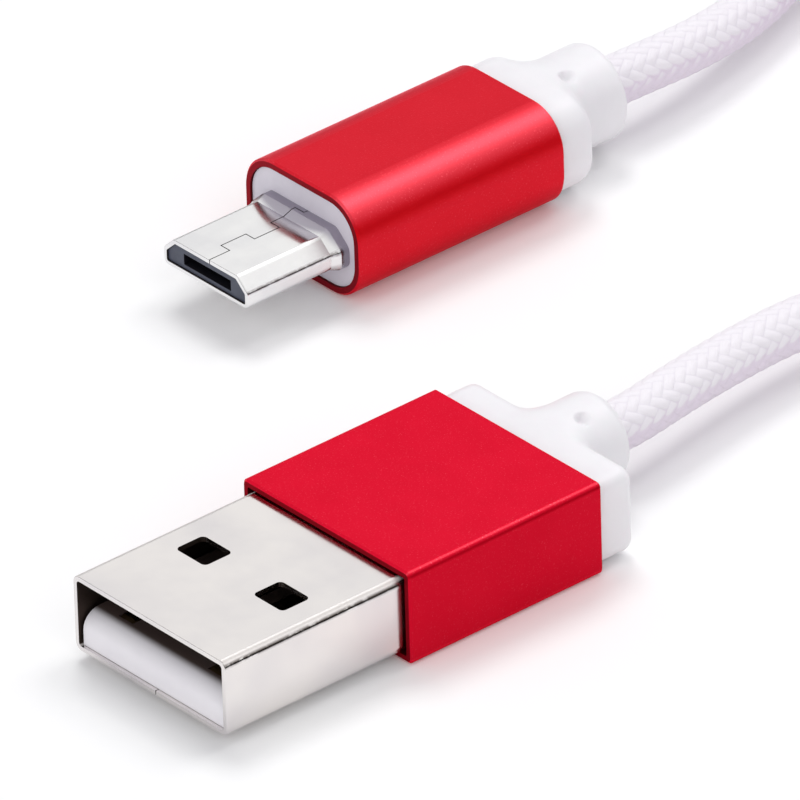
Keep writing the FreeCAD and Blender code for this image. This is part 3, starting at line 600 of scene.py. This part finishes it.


# White braid with painted shade in the gaps and where it turns under
def braidFinish(name, look, braid):
    material, tree, shader, place = newFinish(name, {"Sheen Weight": look["sheen"],
                                                     "Sheen Roughness": look["sheenRoughness"]})
    unrolled = addNode(tree, "ShaderNodeUVMap", uv_map="UVMap").outputs[0]
    height, gap, tone = usePattern(tree, "braid", map=unrolled, strands=float(braid["strands"]),
                                   stitch=braid["stitch"] * mm)
    fibres = grainOf(tree, place, look["fibreSize"])[0]
    colour = blendColour(tree, tone, look["light"], look["deep"])
    # Painted shade in the gaps between the strands
    colour = blendColour(tree, gap, colour, look["gap"])
    # Painted shade where the cord turns under, ragged along the strands
    upward = addNode(tree, "ShaderNodeSeparateXYZ", {0: facingOf(tree)}).outputs[2]
    ragged = calc(tree, "MULTIPLY_ADD", height, look["ragged"], upward)
    under = ramp(tree, ragged, look["underFrom"], look["underTo"], "SMOOTHSTEP")
    plug(tree, shader, "Base Color", blendColour(tree, under, colour, look["under"]))
    plug(tree, shader, "Roughness", toRange(tree, fibres, *look["roughness"]))
    rough = calc(tree, "MULTIPLY_ADD", fibres, look["fibreHeight"], height)
    addBump(tree, shader, rough, look["depth"])
    return material


# Looks. Sizes, depths and places are in mm, and each axis is a point on the middle line of its plug

nickelWear = {
    "streakSize": 0.12, "streakStretch": (1.0, 0.06, 1.0),
    "markSize": 0.25, "markStretch": (1.0, 0.5, 1.0), "markFrom": 0.3, "markTo": 0.52,
    "flareRoughness": 0.3, "insideRoughness": 0.6,
    "bend": (0.5, 0.5),              # radians from the top, half width
    "darkLine": (1.1, 0.4),
}
# In each look, the inner colour is painted shade on the inner faces
hostNickel = {"light": (0.82, 0.785, 0.765, 1.0), "deep": (0.74, 0.71, 0.71, 1.0), "patchSize": 5.0,
              "inside": (0.07, 0.05, 0.042, 1.0), "bottom": 0.0, "roughness": (0.14, 0.24),
              # On the bends: a darker colour as painted shade over the highlight, and a near-black colour
              # for the broken line of painted dark reflection
              "bend": (0.75, 0.72, 0.705, 1.0), "bendRoughness": 0.78, "darkLine": (0.13, 0.105, 0.095, 1.0),
              "streak": 0.0006, "axis": (12.45, 0.0, 2.75)}
microNickel = {"light": (0.85, 0.845, 0.84, 1.0), "deep": (0.77, 0.765, 0.775, 1.0), "patchSize": 3.0,
               "inside": (0.08, 0.07, 0.07, 1.0), "roughness": (0.1, 0.18), "streak": 0.0005,
               # The dark colour on the bends is a line of painted dark reflection
               "bend": (0.80, 0.795, 0.79, 1.0), "bendRoughness": 0.55, "darkLine": (0.28, 0.25, 0.25, 1.0),
               # From the flare's front line back, the colour is a painted dark reflection
               "axis": (-14.35, 0.0, 3.0), "flareFront": 4.95, "flareBow": 0.06, "flareFade": 0.5,
               "behind": (0.40, 0.375, 0.43, 1.0)}
# In the red looks, the colours of the inner and forward-looking faces are painted shade, the light rim
# colour is a painted highlight, the dark rim colour is a painted dark reflection and the bright speck colour
# is painted glints
hostRed = {"light": (0.78, 0.008, 0.034, 1.0), "deep": (0.75, 0.007, 0.031, 1.0),
           "paintedGlint": (0.95, 0.14, 0.18, 1.0), "inside": (0.12, 0.002, 0.004, 1.0), "metal": 0.4,
           "mouth": (0.26, 0.003, 0.01, 1.0), "coat": 0.0, "coatRoughness": 0.34, "grainSize": 0.08,
           "grainDepth": 0.004, "glint": 0.32, "patchSize": 2.5, "mouthFrom": -0.75, "mouthTo": -0.95,
           "roughness": (0.36, 0.5), "specular": 0.0, "tint": (1.0, 0.7, 0.7, 1.0),
           "axis": (12.45, 0.0, 2.75), "rimHighlight": (1.0, 0.2, 0.26, 1.0),
           "crest": (0.45, 0.34, 0.2),      # radians from the top, half width, and strength between specks
           "rimDarkReflection": (0.5, 0.002, 0.012, 1.0), "trough": (1.2, 0.6)}
microRed = dict(hostRed, light=(0.71, 0.007, 0.021, 1.0), deep=(0.69, 0.006, 0.019, 1.0), coat=0.16,
                coatRoughness=0.3, metal=0.75, glint=0.28, tint=(1.0, 0.45, 0.5, 1.0),
                axis=(-14.35, 0.0, 3.0), grainSize=0.1, grainDepth=0.01, rimHighlight=(1.0, 0.11, 0.15, 1.0),
                crest=(0.5, 0.62, 0.6), rimDarkReflection=(0.76, 0.003, 0.01, 1.0), trough=(1.2, 0.32))
bootWhite = {"light": (0.962, 0.94, 0.968, 1.0), "deep": (0.942, 0.915, 0.948, 1.0), "patchSize": 1.6,
             "grainSize": 0.07, "grainDepth": 0.0025, "roughness": (0.34, 0.46), "glow": 0.55,
             "glowTint": (1.0, 0.9, 0.95), "glowDepth": 0.9}
# The shade colour is painted shade on the tongue's top towards the back
tongueWhite = {"light": (0.96, 0.94, 0.965, 1.0), "deep": (0.93, 0.91, 0.94, 1.0), "patchSize": 1.8,
               "grainSize": 0.09, "grainDepth": 0.002, "roughness": (0.36, 0.5), "shadeFrom": -26.25,
               "shadeTo": -25.75, "shade": (0.10, 0.07, 0.062, 1.0)}
coreWhite = {"light": (0.80, 0.77, 0.84, 1.0), "deep": (0.75, 0.72, 0.79, 1.0), "patchSize": 1.5,
             "grainSize": 0.07, "grainDepth": 0.002, "roughness": (0.35, 0.45)}
# The inner colour is painted shade inside the slot
slateDark = {"light": (0.062, 0.072, 0.105, 1.0), "deep": (0.048, 0.056, 0.085, 1.0), "patchSize": 0.9,
             "grainSize": 0.06, "grainDepth": 0.003, "roughness": (0.38, 0.52),
             "axis": (-14.35, 0.0, 3.0), "inside": (0.008, 0.008, 0.012, 1.0)}
braidWhite = {"light": (0.995, 0.965, 0.998, 1.0), "deep": (0.985, 0.95, 0.99, 1.0),
              # The gap colour and the under colour are painted shade
              "gap": (0.93, 0.89, 0.945, 1.0), "sheen": 0.3, "sheenRoughness": 0.4, "depth": 0.04,
              "fibreSize": 0.09, "fibreHeight": 0.25, "roughness": (0.5, 0.75),
              "under": (0.90, 0.81, 0.91, 1.0), "underFrom": 0.5, "underTo": 0.18, "ragged": 0.3}
smallSurface = {"patchSize": 0.6, "grainSize": 0.08, "grainDepth": 0.003}
goldLook = {"light": (0.80, 0.58, 0.24, 1.0), "deep": (0.70, 0.48, 0.18, 1.0), "metal": 1.0,
            "roughness": (0.2, 0.34)}
# Host contacts: gold painted dark brown, as painted shade inside the shell
darkGoldLook = {"light": (0.16, 0.105, 0.05, 1.0), "deep": (0.12, 0.08, 0.04, 1.0), "metal": 1.0,
                "roughness": (0.3, 0.45)}
springLook = {"light": (0.70, 0.69, 0.67, 1.0), "deep": (0.6, 0.6, 0.6, 1.0), "metal": 1.0,
              "roughness": (0.2, 0.32)}
solderLook = {"light": (0.66, 0.66, 0.67, 1.0), "deep": (0.55, 0.55, 0.57, 1.0), "metal": 1.0,
              "roughness": (0.25, 0.4)}
clampLook = {"light": (0.56, 0.56, 0.56, 1.0), "deep": (0.46, 0.46, 0.47, 1.0), "metal": 1.0,
             "roughness": (0.3, 0.45)}
jacketLook = {"light": (0.78, 0.78, 0.78, 1.0), "deep": (0.72, 0.72, 0.72, 1.0), "roughness": (0.45, 0.6)}
wireLooks = {"red": (0.55, 0.02, 0.02), "white": (0.78, 0.78, 0.76), "green": (0.03, 0.28, 0.07),
             "black": (0.015, 0.015, 0.016)}
wireSurface = {"deepShare": 0.8, "roughness": (0.35, 0.5)}

finishes = {
    "hostNickel": nickelFinish("hostNickel", hostNickel, nickelWear),
    "microNickel": nickelFinish("microNickel", microNickel, nickelWear),
    "hostRed": anodisedFinish("hostRed", hostRed),
    "microRed": anodisedFinish("microRed", microRed),
    "bootWhite": mouldedFinish("bootWhite", bootWhite),
    "tongueWhite": mouldedFinish("tongueWhite", tongueWhite),
    "coreWhite": mouldedFinish("coreWhite", coreWhite),
    "slateDark": mouldedFinish("slateDark", slateDark),
    "braidWhite": braidFinish("braidWhite", braidWhite, braidPlan),
    "gold": plainFinish("gold", goldLook, smallSurface),
    "darkGold": plainFinish("darkGold", darkGoldLook, smallSurface),
    "springSteel": plainFinish("springSteel", springLook, smallSurface),
    "solder": plainFinish("solder", solderLook, smallSurface),
    "clampSteel": plainFinish("clampSteel", clampLook, smallSurface),
    "jacket": plainFinish("jacket", jacketLook, smallSurface),
}
for wireColour, tint in wireLooks.items():
    deepTint = tuple(wireSurface["deepShare"] * part for part in tint)
    wireLook = {"light": tint + (1.0,), "deep": deepTint + (1.0,), "roughness": wireSurface["roughness"]}
    finishes[wireColour + "Wire"] = plainFinish(wireColour + "Wire", wireLook, smallSurface)
print("finishes", len(finishes))

makeCord(cordPlan, braidPlan, finishes["braidWhite"])


# Boots: one moulding of a flange and a collar that flow into each other. In mm and degrees, x from the
# plug's axis

bothBoots = {
    "around": 192, "flangeSteps": 14, "faceSteps": 16, "collarSteps": 30, "endSteps": 9, "sharp": 50.0,
    "spigotLength": 1.6, "bore": 1.43, "lip": 0.07, "blend": 1.2,
    "heart": 1.1,                    # from the rear, where the lines to the surface start
    "heartEnd": 1.4,                 # and from the collar's end
    "edgeReach": 1.5,                # of the collar's radius, the least that the flange's rings reach out
    "riseBeyond": 0.6,               # past the flange, until the collar has its full radius
    "gateAngle": 26.0, "gateRadius": 0.42, "gateBlend": 0.08,
    "searchFrom": 3.0, "searchSteps": 90, "searchStep": 0.92, "searchEnd": 0.0004,
    "outlineReach": 12.0, "outlineSteps": 26,
}
hostBoot = {
    **bothBoots, "name": "hostBoot", "node": "host_boot",
    "axis": 12.45, "rear": -2.0, "middle": 2.75, "exit": 3.2,
    "flange": (12.6, 5.0, 0.75), "spigot": (12.26, 4.66, 0.15), "flangeLength": 2.5, "flangeRound": 0.7,
    "collarStart": 1.5, "collarRadius": 2.55, "collarLength": 3.35, "collarRound": 0.85,
    "gateInset": 2.35, "gateLift": 0.06,
}
microBoot = {
    **bothBoots, "name": "microBoot", "node": "micro_boot",
    "axis": -14.35, "rear": 20.7, "middle": 3.0, "exit": 3.15,
    "flange": (8.8, 5.5, 2.1), "spigot": (8.36, 5.06, 1.88), "flangeLength": 2.6, "flangeRound": 0.9,
    "collarStart": 1.9, "collarRadius": 2.75, "collarLength": 3.7, "collarRound": 0.45,
    "gateInset": 3.1, "gateLift": 0.08,
}


# Distance to a solid with rounded rims, from the distances to its side and to its end
def roundedDistance(side, end, radius):
    a = side + radius
    b = end + radius
    return math.hypot(max(a, 0.0), max(b, 0.0)) + min(max(a, b), 0.0) - radius


# Distance to the outline of a flange or spigot, given as width, height and corner
def sectionDistance(spec, outline, x, z):
    width, height, corner = outline
    beside = abs(x) - width / 2 + corner
    above = abs(z - spec["middle"]) - height / 2 + corner
    return math.hypot(max(beside, 0.0), max(above, 0.0)) + min(max(beside, above), 0.0) - corner


# Distance to the whole boot: flange and collar blended, less the small dimple of its gate
def bootDistance(spec, x, y, z):
    flangeEnd = spec["rear"] + spec["flangeLength"]
    end = flangeEnd + spec["collarLength"]
    section = sectionDistance(spec, spec["flange"], x, z)
    flange = roundedDistance(section, y - flangeEnd, spec["flangeRound"])
    out = math.hypot(x, z - spec["exit"])
    rise = min(max((y - spec["rear"]) / (spec["flangeLength"] + spec["riseBeyond"]), 0.0), 1.0)
    widening = spec["collarRadius"] - spec["collarStart"]
    radius = spec["collarStart"] + widening * rise * rise * (3 - 2 * rise)
    collar = roundedDistance(out - radius, y - end, spec["collarRound"])
    blend = spec["blend"]
    overlap = max(blend - abs(flange - collar), 0.0) / blend
    body = min(flange, collar) - overlap * overlap * blend / 4
    angle = math.radians(spec["gateAngle"])
    lifted = spec["collarRadius"] + spec["gateLift"]
    gateX = lifted * math.sin(angle)
    gateY = end - spec["gateInset"]
    gateZ = spec["exit"] + lifted * math.cos(angle)
    gate = spec["gateRadius"] - math.sqrt((x - gateX) ** 2 + (y - gateY) ** 2 + (z - gateZ) ** 2)
    blend = spec["gateBlend"]
    overlap = max(blend - abs(body - gate), 0.0) / blend
    return max(body, gate) + overlap * overlap * blend / 4


# Where a line from the axis, through a point at a distance out and at y, leaves the boot
def bootSurface(spec, angle, start, out, y):
    size = math.hypot(out, y - start)
    outward = out / size
    onward = (y - start) / size
    far = size + spec["searchFrom"]
    for k in range(spec["searchSteps"]):
        x = outward * far * math.sin(angle)
        z = spec["exit"] + outward * far * math.cos(angle)
        gap = bootDistance(spec, x, start + onward * far, z)
        if gap < spec["searchEnd"]:
            break
        far -= gap * spec["searchStep"]
    return (spec["axis"] + x, start + onward * far, z)


# How far out from the exit's axis an outline lies at an angle
def toOutline(spec, angle, outline):
    low, high = 0.0, spec["outlineReach"]
    for k in range(spec["outlineSteps"]):
        out = (low + high) / 2
        x = out * math.sin(angle)
        z = spec["exit"] + out * math.cos(angle)
        if sectionDistance(spec, outline, x, z) < 0:
            low = out
        else:
            high = out
    return low


def makeBoot(spec, material):
    flangeEnd = spec["rear"] + spec["flangeLength"]
    end = flangeEnd + spec["collarLength"]
    front = spec["rear"] - spec["spigotLength"]
    heart = spec["rear"] + spec["heart"]
    inner = end - spec["heartEnd"]
    radius = spec["collarRadius"]
    rings = []
    count = spec["around"]
    angles = [2 * math.pi * k / count for k in range(count)]

    def plainRing(y, reach):
        ring = []
        for angle in angles:
            out = reach if isinstance(reach, float) else toOutline(spec, angle, reach)
            ring.append((spec["axis"] + out * math.sin(angle), y, spec["exit"] + out * math.cos(angle)))
        rings.append(ring)

    edge = [max(toOutline(spec, angle, spec["flange"]), spec["edgeReach"] * radius) for angle in angles]
    plainRing(front, spec["bore"])
    plainRing(front, spec["spigot"])
    plainRing(spec["rear"], spec["spigot"])
    for k in range(spec["flangeSteps"]):
        y = spec["rear"] + spec["flangeLength"] * k / spec["flangeSteps"]
        rings.append([bootSurface(spec, angle, min(y, heart), out, y)
                      for angle, out in zip(angles, edge)])
    for k in range(spec["faceSteps"]):
        part = k / spec["faceSteps"]
        rings.append([bootSurface(spec, angle, heart, (1 - part) * out + part * radius, flangeEnd)
                      for angle, out in zip(angles, edge)])
    for k in range(spec["collarSteps"]):
        part = k / spec["collarSteps"]
        start = heart + (inner - heart) * part * part * (3 - 2 * part)
        rings.append([bootSurface(spec, angle, start, radius, flangeEnd + spec["collarLength"] * part)
                      for angle in angles])
    for k in range(spec["endSteps"] + 1):
        out = radius + (spec["bore"] + spec["lip"] - radius) * k / spec["endSteps"]
        rings.append([bootSurface(spec, angle, inner, out, end) for angle in angles])
    plainRing(end - spec["lip"], spec["bore"])

    mesh = bpy.data.meshes.new(spec["name"])
    faces = []
    for k in range(len(rings)):
        a = k * count
        b = (k + 1) % len(rings) * count
        for n in range(count):
            m = (n + 1) % count
            faces.append((a + n, a + m, b + m, b + n))
    mesh.from_pydata([(x * mm, y * mm, z * mm) for ring in rings for x, y, z in ring], [], faces)
    work = bmesh.new()
    work.from_mesh(mesh)
    bmesh.ops.recalc_face_normals(work, faces=work.faces)
    work.to_mesh(mesh)
    work.free()
    mesh.polygons.foreach_set("use_smooth", [True] * len(mesh.polygons))
    mesh.set_sharp_from_angle(angle=math.radians(spec["sharp"]))
    mesh.materials.append(material)
    boot = linkObject(spec["name"], mesh)
    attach(boot, "cable")
    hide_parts(spec["node"])
    print(spec["name"], len(mesh.polygons), "faces")


makeBoot(hostBoot, finishes["bootWhite"])
makeBoot(microBoot, finishes["bootWhite"])


# Host tongue: its CAD shape, with the nose drawn as a quarter of an ellipse that runs on from the front.
# In mm and degrees

hostTongue = {"name": "hostTongue", "node": "host_insulator", "front": -26.8, "back": -25.7, "top": 2.75,
              "noseFrom": 2.1, "drop": 1.05, "sharp": 30.0, "merge": 0.001, "flat": 0.5, "slack": 0.01}


def makeTongue(spec, material):
    work = bmesh.new()
    work.from_mesh(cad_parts[spec["node"]].data)
    bmesh.ops.remove_doubles(work, verts=work.verts, dist=spec["merge"] * mm)
    bmesh.ops.dissolve_limit(work, angle_limit=math.radians(spec["flat"]),
                             verts=work.verts, edges=work.edges)
    nose = [vertex for vertex in work.verts
            if vertex.co.y < (spec["back"] + spec["slack"]) * mm and vertex.co.z > spec["noseFrom"] * mm]
    steps = sorted({round(vertex.co.y / mm, 2) for vertex in nose})
    for vertex in nose:
        turned = math.pi / 2 * steps.index(round(vertex.co.y / mm, 2)) / (len(steps) - 1)
        vertex.co.y = (spec["back"] - (spec["back"] - spec["front"]) * math.cos(turned)) * mm
        vertex.co.z = (spec["top"] - spec["drop"] * (1 - math.sin(turned))) * mm
    mesh = bpy.data.meshes.new(spec["name"])
    work.to_mesh(mesh)
    work.free()
    if mesh.has_custom_normals:
        mesh.attributes.remove(mesh.attributes["custom_normal"])
    mesh.polygons.foreach_set("material_index", [0] * len(mesh.polygons))
    mesh.polygons.foreach_set("use_smooth", [True] * len(mesh.polygons))
    mesh.set_sharp_from_angle(angle=math.radians(spec["sharp"]))
    mesh.materials.append(material)
    tongue = linkObject(spec["name"], mesh)
    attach(tongue, "cable")
    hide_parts(spec["node"])
    print(spec["name"], len(mesh.polygons), "faces,", len(steps), "steps in its nose")


makeTongue(hostTongue, finishes["tongueWhite"])


# Finishes of the pieces that keep their CAD shape, by the start of their names

nodeFinishes = {
    "host_shell": "hostNickel", "micro_shell": "microNickel", "host_sleeve": "hostRed",
    "micro_sleeve": "microRed", "micro_insulator": "slateDark",
    # The host contacts' gold is painted dark as shade inside the shell
    "micro_core": "coreWhite", "host_inner_mould": "coreWhite", "host_contact": "darkGold",
    "micro_contact": "gold", "micro_tail": "gold", "micro_latch": "springSteel", "host_solder": "solder",
    "micro_solder": "solder", "host_cable_clamp": "clampSteel", "micro_cable_clamp": "clampSteel",
    "host_jacket_end": "jacket", "micro_jacket_end": "jacket", "host_braid_end": "coreWhite",
    "micro_braid_end": "coreWhite",
}
wireColours = {"power": "red", "data_minus": "white", "data_plus": "green", "ground": "black"}
dressed = 0
for name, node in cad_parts.items():
    finish = next((finishes[look] for start, look in nodeFinishes.items() if name.startswith(start)),
                  None)
    if "_wire_" in name:
        finish = finishes[wireColours[name.split("_wire_")[1]] + "Wire"]
    if finish:
        for slot in node.material_slots:
            slot.material = finish
        dressed += 1
print("dressed", dressed, "CAD pieces")


# Floor, backdrop and light

studio = {
    "floorSize": 3.0,
    "floorHeight": -0.00002,         # just under the pieces that lie on it
    "floorBounce": (0.88, 0.88, 0.875, 1.0),
    "floorSeen": (0.98, 0.985, 0.975, 1.0),      # by the camera and in mirrors, so that lit ground is white
    "floorGlow": 0.05,
    "ambient": (0.95, 0.935, 1.0, 1.0),
    "ambientStrength": 0.41,
    "backdrop": (1.0, 1.0, 1.0, 1.0),
    "flagRadius": 0.35,              # ring of dark flags at the horizon, seen only in reflections
    "flagHeight": 0.10,
    "flagSides": 64,
    "flagCloth": (0.02, 0.018, 0.02, 1.0),
}
lamps = [
    {"name": "stripBack", "from": (0.0, 0.55, 0.83), "strength": 0.55, "angle": 27.0, "mirrored": True},
    {"name": "softboxLeft", "from": (-0.42, 0.27, 0.87), "strength": 1.0, "angle": 24.0, "mirrored": False},
    {"name": "softboxRight", "from": (0.75, -0.1, 0.65), "strength": 0.38, "angle": 40.0, "mirrored": False},
    {"name": "fillFront", "from": (0.15, -0.92, 0.36), "strength": 0.85, "angle": 70.0, "mirrored": False},
]


# 1 for rays from the camera, a mirror or glass
def seenDirectly(tree):
    rays = addNode(tree, "ShaderNodeLightPath").outputs
    mirror = calc(tree, "MAXIMUM", rays["Is Glossy Ray"], rays["Is Transmission Ray"])
    return calc(tree, "MAXIMUM", rays["Is Camera Ray"], mirror)


def makeFloor(spec):
    half = spec["floorSize"] / 2
    mesh = bpy.data.meshes.new("floor")
    low = spec["floorHeight"]
    corners = [(-half, -half, low), (half, -half, low), (half, half, low), (-half, half, low)]
    mesh.from_pydata(corners, [], [(0, 1, 2, 3)])
    material, tree = newMaterial("paper")
    seen = seenDirectly(tree)
    colour = blendColour(tree, seen, spec["floorBounce"], spec["floorSeen"])
    matt = addNode(tree, "ShaderNodeBsdfDiffuse", {"Color": colour}).outputs[0]
    glow = calc(tree, "MULTIPLY", seen, spec["floorGlow"])
    lit = addNode(tree, "ShaderNodeEmission", {"Strength": glow}).outputs[0]
    both = addNode(tree, "ShaderNodeAddShader", {0: matt, 1: lit}).outputs[0]
    addNode(tree, "ShaderNodeOutputMaterial", {0: both})
    mesh.materials.append(material)
    linkObject("floor", mesh)


def makeFlags(spec):
    material, tree = newMaterial("flagCloth")
    cloth = addNode(tree, "ShaderNodeBsdfDiffuse", {"Color": spec["flagCloth"]}).outputs[0]
    addNode(tree, "ShaderNodeOutputMaterial", {0: cloth})
    count = spec["flagSides"]
    points = []
    for height in (0.0, spec["flagHeight"]):
        for k in range(count):
            angle = 2 * math.pi * k / count
            x = spec["flagRadius"] * math.cos(angle)
            y = spec["flagRadius"] * math.sin(angle)
            points.append((x, y, height))
    faces = [(k, (k + 1) % count, count + (k + 1) % count, count + k) for k in range(count)]
    mesh = bpy.data.meshes.new("darkFlags")
    mesh.from_pydata(points, [], faces)
    mesh.materials.append(material)
    flags = linkObject("darkFlags", mesh)
    flags.visible_camera = False
    flags.visible_diffuse = False
    flags.visible_shadow = False


def makeWorld(spec):
    world = bpy.data.worlds.new("whiteStudio")
    world.use_nodes = True
    tree = world.node_tree
    tree.nodes.clear()
    ambient = {0: spec["ambient"], 1: spec["ambientStrength"]}
    soft = addNode(tree, "ShaderNodeBackground", ambient).outputs[0]
    white = addNode(tree, "ShaderNodeBackground", {0: spec["backdrop"], 1: 1.0}).outputs[0]
    either = addNode(tree, "ShaderNodeMixShader", {0: seenDirectly(tree), 1: soft, 2: white}).outputs[0]
    addNode(tree, "ShaderNodeOutputWorld", {0: either})
    scene.world = world


def addLamps(plans):
    for plan in plans:
        data = bpy.data.lights.new(plan["name"], "SUN")
        data.energy = plan["strength"]
        data.angle = math.radians(plan["angle"])
        lamp = linkObject(plan["name"], data)
        lamp.rotation_euler = Vector(plan["from"]).to_track_quat("Z", "Y").to_euler()
        lamp.visible_glossy = plan["mirrored"]


makeFloor(studio)
makeFlags(studio)
makeWorld(studio)
addLamps(lamps)
scene.view_settings.view_transform = "Standard"
print("studio lit")
